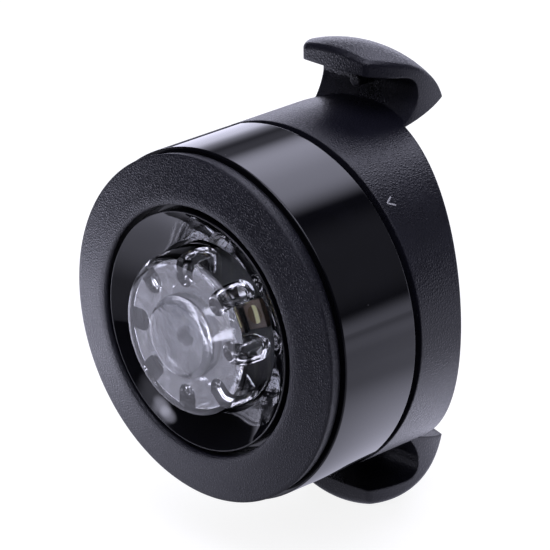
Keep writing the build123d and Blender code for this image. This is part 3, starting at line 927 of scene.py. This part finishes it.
@dataclass
class RearUnit:
    """The rear housing with its seal, mark, tray, cells and contacts. Angles are in degrees."""

    finishes: Finishes
    body_radius: float = 21.0 * MM
    mark_angle: float = 45.3
    mark_half_angle: float = 1.62
    mark_tip: float = -5.6 * MM
    mark_length: float = 1.05 * MM
    mark_line: float = 0.2 * MM
    mark_lift: float = 0.03 * MM
    stroke_steps: int = 6

    def build(self) -> None:
        """Dresses the rear nodes and builds the mark."""
        dress(["rear_housing"], self.finishes.housing)
        dress(["housing_seal"], self.finishes.rubber)
        dress(["battery_tray"], self.finishes.moulding)
        dress(["return_contact"], self.finishes.strip)
        dress(["coin_cell_front", "coin_cell_rear"], self.finishes.cell)
        dress(["tray_screws"], self.finishes.screw)
        self.build_mark()

    def on_skin(self, angle: float, place: float, lift: float) -> Vector:
        """Places a point over the round body.

        Args:
            angle: Degrees from +X towards +Z.
            place: Y in metres.
            lift: Height over the skin in metres.

        Returns:
            The point.
        """
        turn = math.radians(angle)
        radius = self.body_radius + lift
        return Vector((radius * math.cos(turn), place, radius * math.sin(turn)))

    def build_mark(self) -> None:
        """Builds the small arrow that marks the bayonet's closed place."""
        mesh = bpy.data.meshes.new("bayonet_mark")
        build = bmesh.new()
        tip = (self.mark_angle, self.mark_tip)
        for side in (1, -1):
            angle = self.mark_angle + side * self.mark_half_angle
            self.add_stroke(build, tip, (angle, self.mark_tip + self.mark_length))
        build.to_mesh(mesh)
        build.free()
        add_piece("bayonet_mark", mesh, self.finishes.mark, Body.BASE)

    def add_stroke(
        self, build: bmesh.types.BMesh, start: tuple[float, float], end: tuple[float, float]
    ) -> None:
        """Adds one stroke of the mark as a thin raised bar that follows the skin.

        Args:
            build: The mesh that takes the stroke.
            start: Angle in degrees and Y in metres where the stroke starts.
            end: The same where it ends.
        """
        arc = math.radians(end[0] - start[0]) * self.body_radius
        along = Vector((arc, end[1] - start[1])).normalized()
        across = Vector((-along.y, along.x)) * self.mark_line / 2
        corners = ((-1, -1), (-1, 1), (1, 1), (1, -1))
        rings = []
        for step in range(self.stroke_steps + 1):
            share = step / self.stroke_steps
            angle = start[0] + (end[0] - start[0]) * share
            place = start[1] + (end[1] - start[1]) * share
            ring = []
            for side, level in corners:
                turn = angle + math.degrees(across.x * side / self.body_radius)
                corner = self.on_skin(turn, place + across.y * side, level * self.mark_lift)
                ring.append(build.verts.new(corner))
            rings.append(ring)
        for first, second in zip(rings, rings[1:]):
            for index in range(len(corners)):
                following = (index + 1) % len(corners)
                build.faces.new((first[index], first[following], second[following], second[index]))
        build.faces.new(rings[0][::-1])
        build.faces.new(rings[-1])
        bmesh.ops.recalc_face_normals(build, faces=build.faces)


@dataclass(frozen=True)
class SkyPatch:
    """A soft-edged bright area of the studio: a softbox, a window or a white card.

    The direction points to its middle from the light. It fades from the inner to the outer angle, in
    degrees from that middle, and its radiance is 1 where it looks plain white.
    """

    direction: tuple[float, float, float]
    inner: float
    outer: float
    radiance: float

    def strength(self, canvas: NodeCanvas, place: bpy.types.NodeSocket) -> bpy.types.NodeSocket:
        """Builds the patch's share of the world's strength.

        Args:
            canvas: The world's canvas.
            place: The direction that is looked in.

        Returns:
            The socket of the patch's radiance in that direction.
        """
        towards = canvas.vector("DOT_PRODUCT", place, Vector(self.direction).normalized())
        outer = math.cos(math.radians(self.outer))
        inner = math.cos(math.radians(self.inner))
        return canvas.spread(towards.outputs["Value"], outer, inner, 0.0, self.radiance)


@dataclass(frozen=True)
class TablePatch:
    """A brightly lit area of the white table, which shows in gloss and through the clear button.

    The centre is X and Y on the table, and it fades from the inner to the outer radius, all in metres.
    """

    centre: tuple[float, float]
    inner: float
    outer: float
    radiance: float

    def strength(
        self, canvas: NodeCanvas, place: bpy.types.NodeSocket, height: float
    ) -> bpy.types.NodeSocket:
        """Builds the patch's share of the table's glow.

        Args:
            canvas: The table material's canvas.
            place: The place on the table.
            height: The table's height.

        Returns:
            The socket of the patch's radiance at that place.
        """
        gap = canvas.vector("DISTANCE", place, (*self.centre, height))
        return canvas.spread(gap.outputs["Value"], self.inner, self.outer, self.radiance, 0.0)


@dataclass
class Studio:
    """White table, soft lights round it and the camera.

    The sweep is the white paper below and behind the light. It fills the directions whose share along
    sweep_normal is under sweep_edge, and above that it fades to the dim ceiling. The table is plain
    white to the camera, gloss shows its glow and its lit areas, and the clear button shows it brighter.
    """

    floor_height: float = -28.55 * MM
    floor_radius: float = 300.0 * MM
    floor_centre: tuple[float, float] = (0.0, 130.0 * MM)
    floor_segments: int = 96
    floor_colour: Colour = Colour(0.3, 0.3, 0.3)
    floor_white: float = 0.88
    floor_glow: float = 0.03
    floor_seen_through: float = 0.95
    sweep_normal: tuple[float, float, float] = (0.12, -0.2757, 0.9538)
    sweep_edge: tuple[float, float] = (-0.16, -0.02)
    sweep_radiance: float = 1.0
    ceiling_radiance: float = 0.02
    light_colour: Colour = Colour(0.93, 0.93, 1.15)
    lens: float = 265.375
    sensor: float = 36.0
    azimuth: float = 45.212
    elevation: float = 21.415
    roll: float = -0.877
    distance: float = 462.0 * MM
    nearest: float = 10.0 * MM
    aim: tuple[float, float, float] = (4.367 * MM, -13.242 * MM, 5.675 * MM)
    sky: tuple[SkyPatch, ...] = (
        SkyPatch((-0.23, 0.656, 0.72), 10.0, 26.0, 2.4),
        SkyPatch((-0.485, 0.656, 0.578), 8.0, 20.0, 0.24),
        SkyPatch((-0.755, 0.656, 0.0), 8.0, 22.0, 0.9),
        SkyPatch((0.62, 0.656, 0.43), 8.0, 26.0, 0.14),
        SkyPatch((0.1, -0.35, 0.93), 12.0, 35.0, 1.8),
        SkyPatch((0.45, -0.2, 0.87), 12.0, 30.0, 1.3),
        SkyPatch((0.0, -0.88, 0.47), 0.0, 16.0, 0.8),
        SkyPatch((-0.12, -0.83, 0.55), 0.0, 9.0, 3.5),
        SkyPatch((-0.21, -0.785, 0.585), 0.0, 8.0, 3.5),
    )
    table: tuple[TablePatch, ...] = (
        TablePatch((-0.09, -0.03), 0.02, 0.07, 2.5),
        TablePatch((-0.06, -0.075), 0.015, 0.05, 1.1),
        TablePatch((-0.02, -0.04), 0.01, 0.035, 0.7),
        TablePatch((0.02, 0.017), 0.004, 0.034, 1.1),
        TablePatch((0.045, 0.04), 0.0, 0.07, 0.45),
        TablePatch((0.1, 0.13), 0.0, 0.13, 0.7),
        TablePatch((0.0, 0.0), 0.04, 0.35, 0.3),
        TablePatch((1.5, 1.4), 1.6, 2.05, 0.9),
    )

    def build(self) -> None:
        """Builds everything that isn't the light itself."""
        self.build_camera()
        self.build_world()
        self.build_floor()
        bpy.context.scene.view_settings.view_transform = "Standard"
        log.info("built the studio with %d lit areas", len(self.sky) + len(self.table))

    def build_camera(self) -> None:
        """Places the camera at the photograph's viewing angle."""
        data = bpy.data.cameras.new("Camera")
        data.lens = self.lens
        data.sensor_width = self.sensor
        data.clip_start = self.nearest
        camera = bpy.data.objects.new("Camera", data)
        bpy.context.scene.collection.objects.link(camera)
        across = math.radians(self.azimuth)
        above = math.radians(self.elevation)
        level = math.cos(above)
        back = Vector((math.sin(across) * level, -math.cos(across) * level, math.sin(above)))
        right = Vector((math.cos(across), math.sin(across), 0.0))
        right = Matrix.Rotation(math.radians(self.roll), 3, back) @ right
        axes = Matrix((right, back.cross(right), back)).transposed()
        camera.matrix_world = Matrix.Translation(Vector(self.aim) + back * self.distance) @ axes.to_4x4()
        bpy.context.scene.camera = camera

    def build_world(self) -> None:
        """Builds the studio round the table: white sweep, dim ceiling and soft lights."""
        world = bpy.data.worlds.new("Studio")
        bpy.context.scene.world = world
        world.use_nodes = True
        canvas = NodeCanvas(world.node_tree)
        place = canvas.add("ShaderNodeTexCoord").outputs["Generated"]
        level = canvas.vector("DOT_PRODUCT", place, self.sweep_normal).outputs["Value"]
        sweep = canvas.spread(level, *self.sweep_edge, self.sweep_radiance, self.ceiling_radiance)
        total = canvas.total(sweep, [patch.strength(canvas, place) for patch in self.sky])
        studio = canvas.add("ShaderNodeBackground", Color=self.light_colour, Strength=total)
        backdrop = canvas.add("ShaderNodeBackground", Color=WHITE)
        either = canvas.add("ShaderNodeMixShader")
        canvas.feed(either, 0, canvas.add("ShaderNodeLightPath").outputs["Is Camera Ray"])
        canvas.feed(either, 1, studio.outputs[0])
        canvas.feed(either, 2, backdrop.outputs[0])
        output = canvas.add("ShaderNodeOutputWorld")
        canvas.feed(output, "Surface", either.outputs[0])

    def build_floor(self) -> None:
        """Builds the white table as a disc under the light."""
        mesh = bpy.data.meshes.new("floor")
        build = bmesh.new()
        bmesh.ops.create_circle(
            build, cap_ends=True, segments=self.floor_segments, radius=self.floor_radius
        )
        build.to_mesh(mesh)
        build.free()
        floor = bpy.data.objects.new("floor", mesh)
        floor.location = (*self.floor_centre, self.floor_height)
        bpy.context.scene.collection.objects.link(floor)
        mesh.materials.append(self.floor_material())

    def floor_material(self) -> bpy.types.Material:
        """Builds the table's white, which stays white to the camera but keeps the shadow.

        Returns:
            The floor's material.
        """
        material = bpy.data.materials.new("White table")
        material.use_nodes = True
        canvas = NodeCanvas(material.node_tree)
        rays = canvas.add("ShaderNodeLightPath").outputs
        gloss, through = rays["Is Glossy Ray"], rays["Is Transmission Ray"]
        mirrored = canvas.math("ADD", gloss, through, clamp=True)
        plain = canvas.total(
            canvas.math("MULTIPLY", gloss, self.floor_glow),
            [
                canvas.math("MULTIPLY", through, self.floor_seen_through),
                canvas.math("MULTIPLY", rays["Is Camera Ray"], self.floor_white),
            ],
        )
        place = canvas.add("ShaderNodeNewGeometry").outputs["Position"]
        patches = [patch.strength(canvas, place, self.floor_height) for patch in self.table]
        lit = canvas.math("MULTIPLY", canvas.total(0.0, patches), mirrored)
        tint = canvas.mix(mirrored, WHITE, self.light_colour)
        white = canvas.add("ShaderNodeEmission", Color=tint, Strength=canvas.math("ADD", plain, lit))
        paint = canvas.mix(gloss, self.floor_colour, BLACK)
        table = canvas.add("ShaderNodeBsdfDiffuse", Color=paint)
        both = canvas.add("ShaderNodeAddShader")
        canvas.feed(both, 0, white.outputs[0])
        canvas.feed(both, 1, table.outputs[0])
        output = canvas.add("ShaderNodeOutputMaterial")
        canvas.feed(output, "Surface", both.outputs[0])
        return material


def main() -> None:
    """Builds the light's looks and its studio."""
    logging.basicConfig(level=logging.INFO, format="%(name)s: %(message)s")
    finishes = Finishes(Effects())
    for unit in (HeadShell(finishes), LightEngine(finishes), Button(finishes), RearUnit(finishes)):
        unit.build()
    Studio().build()


if __name__ == "__main__":
    main()
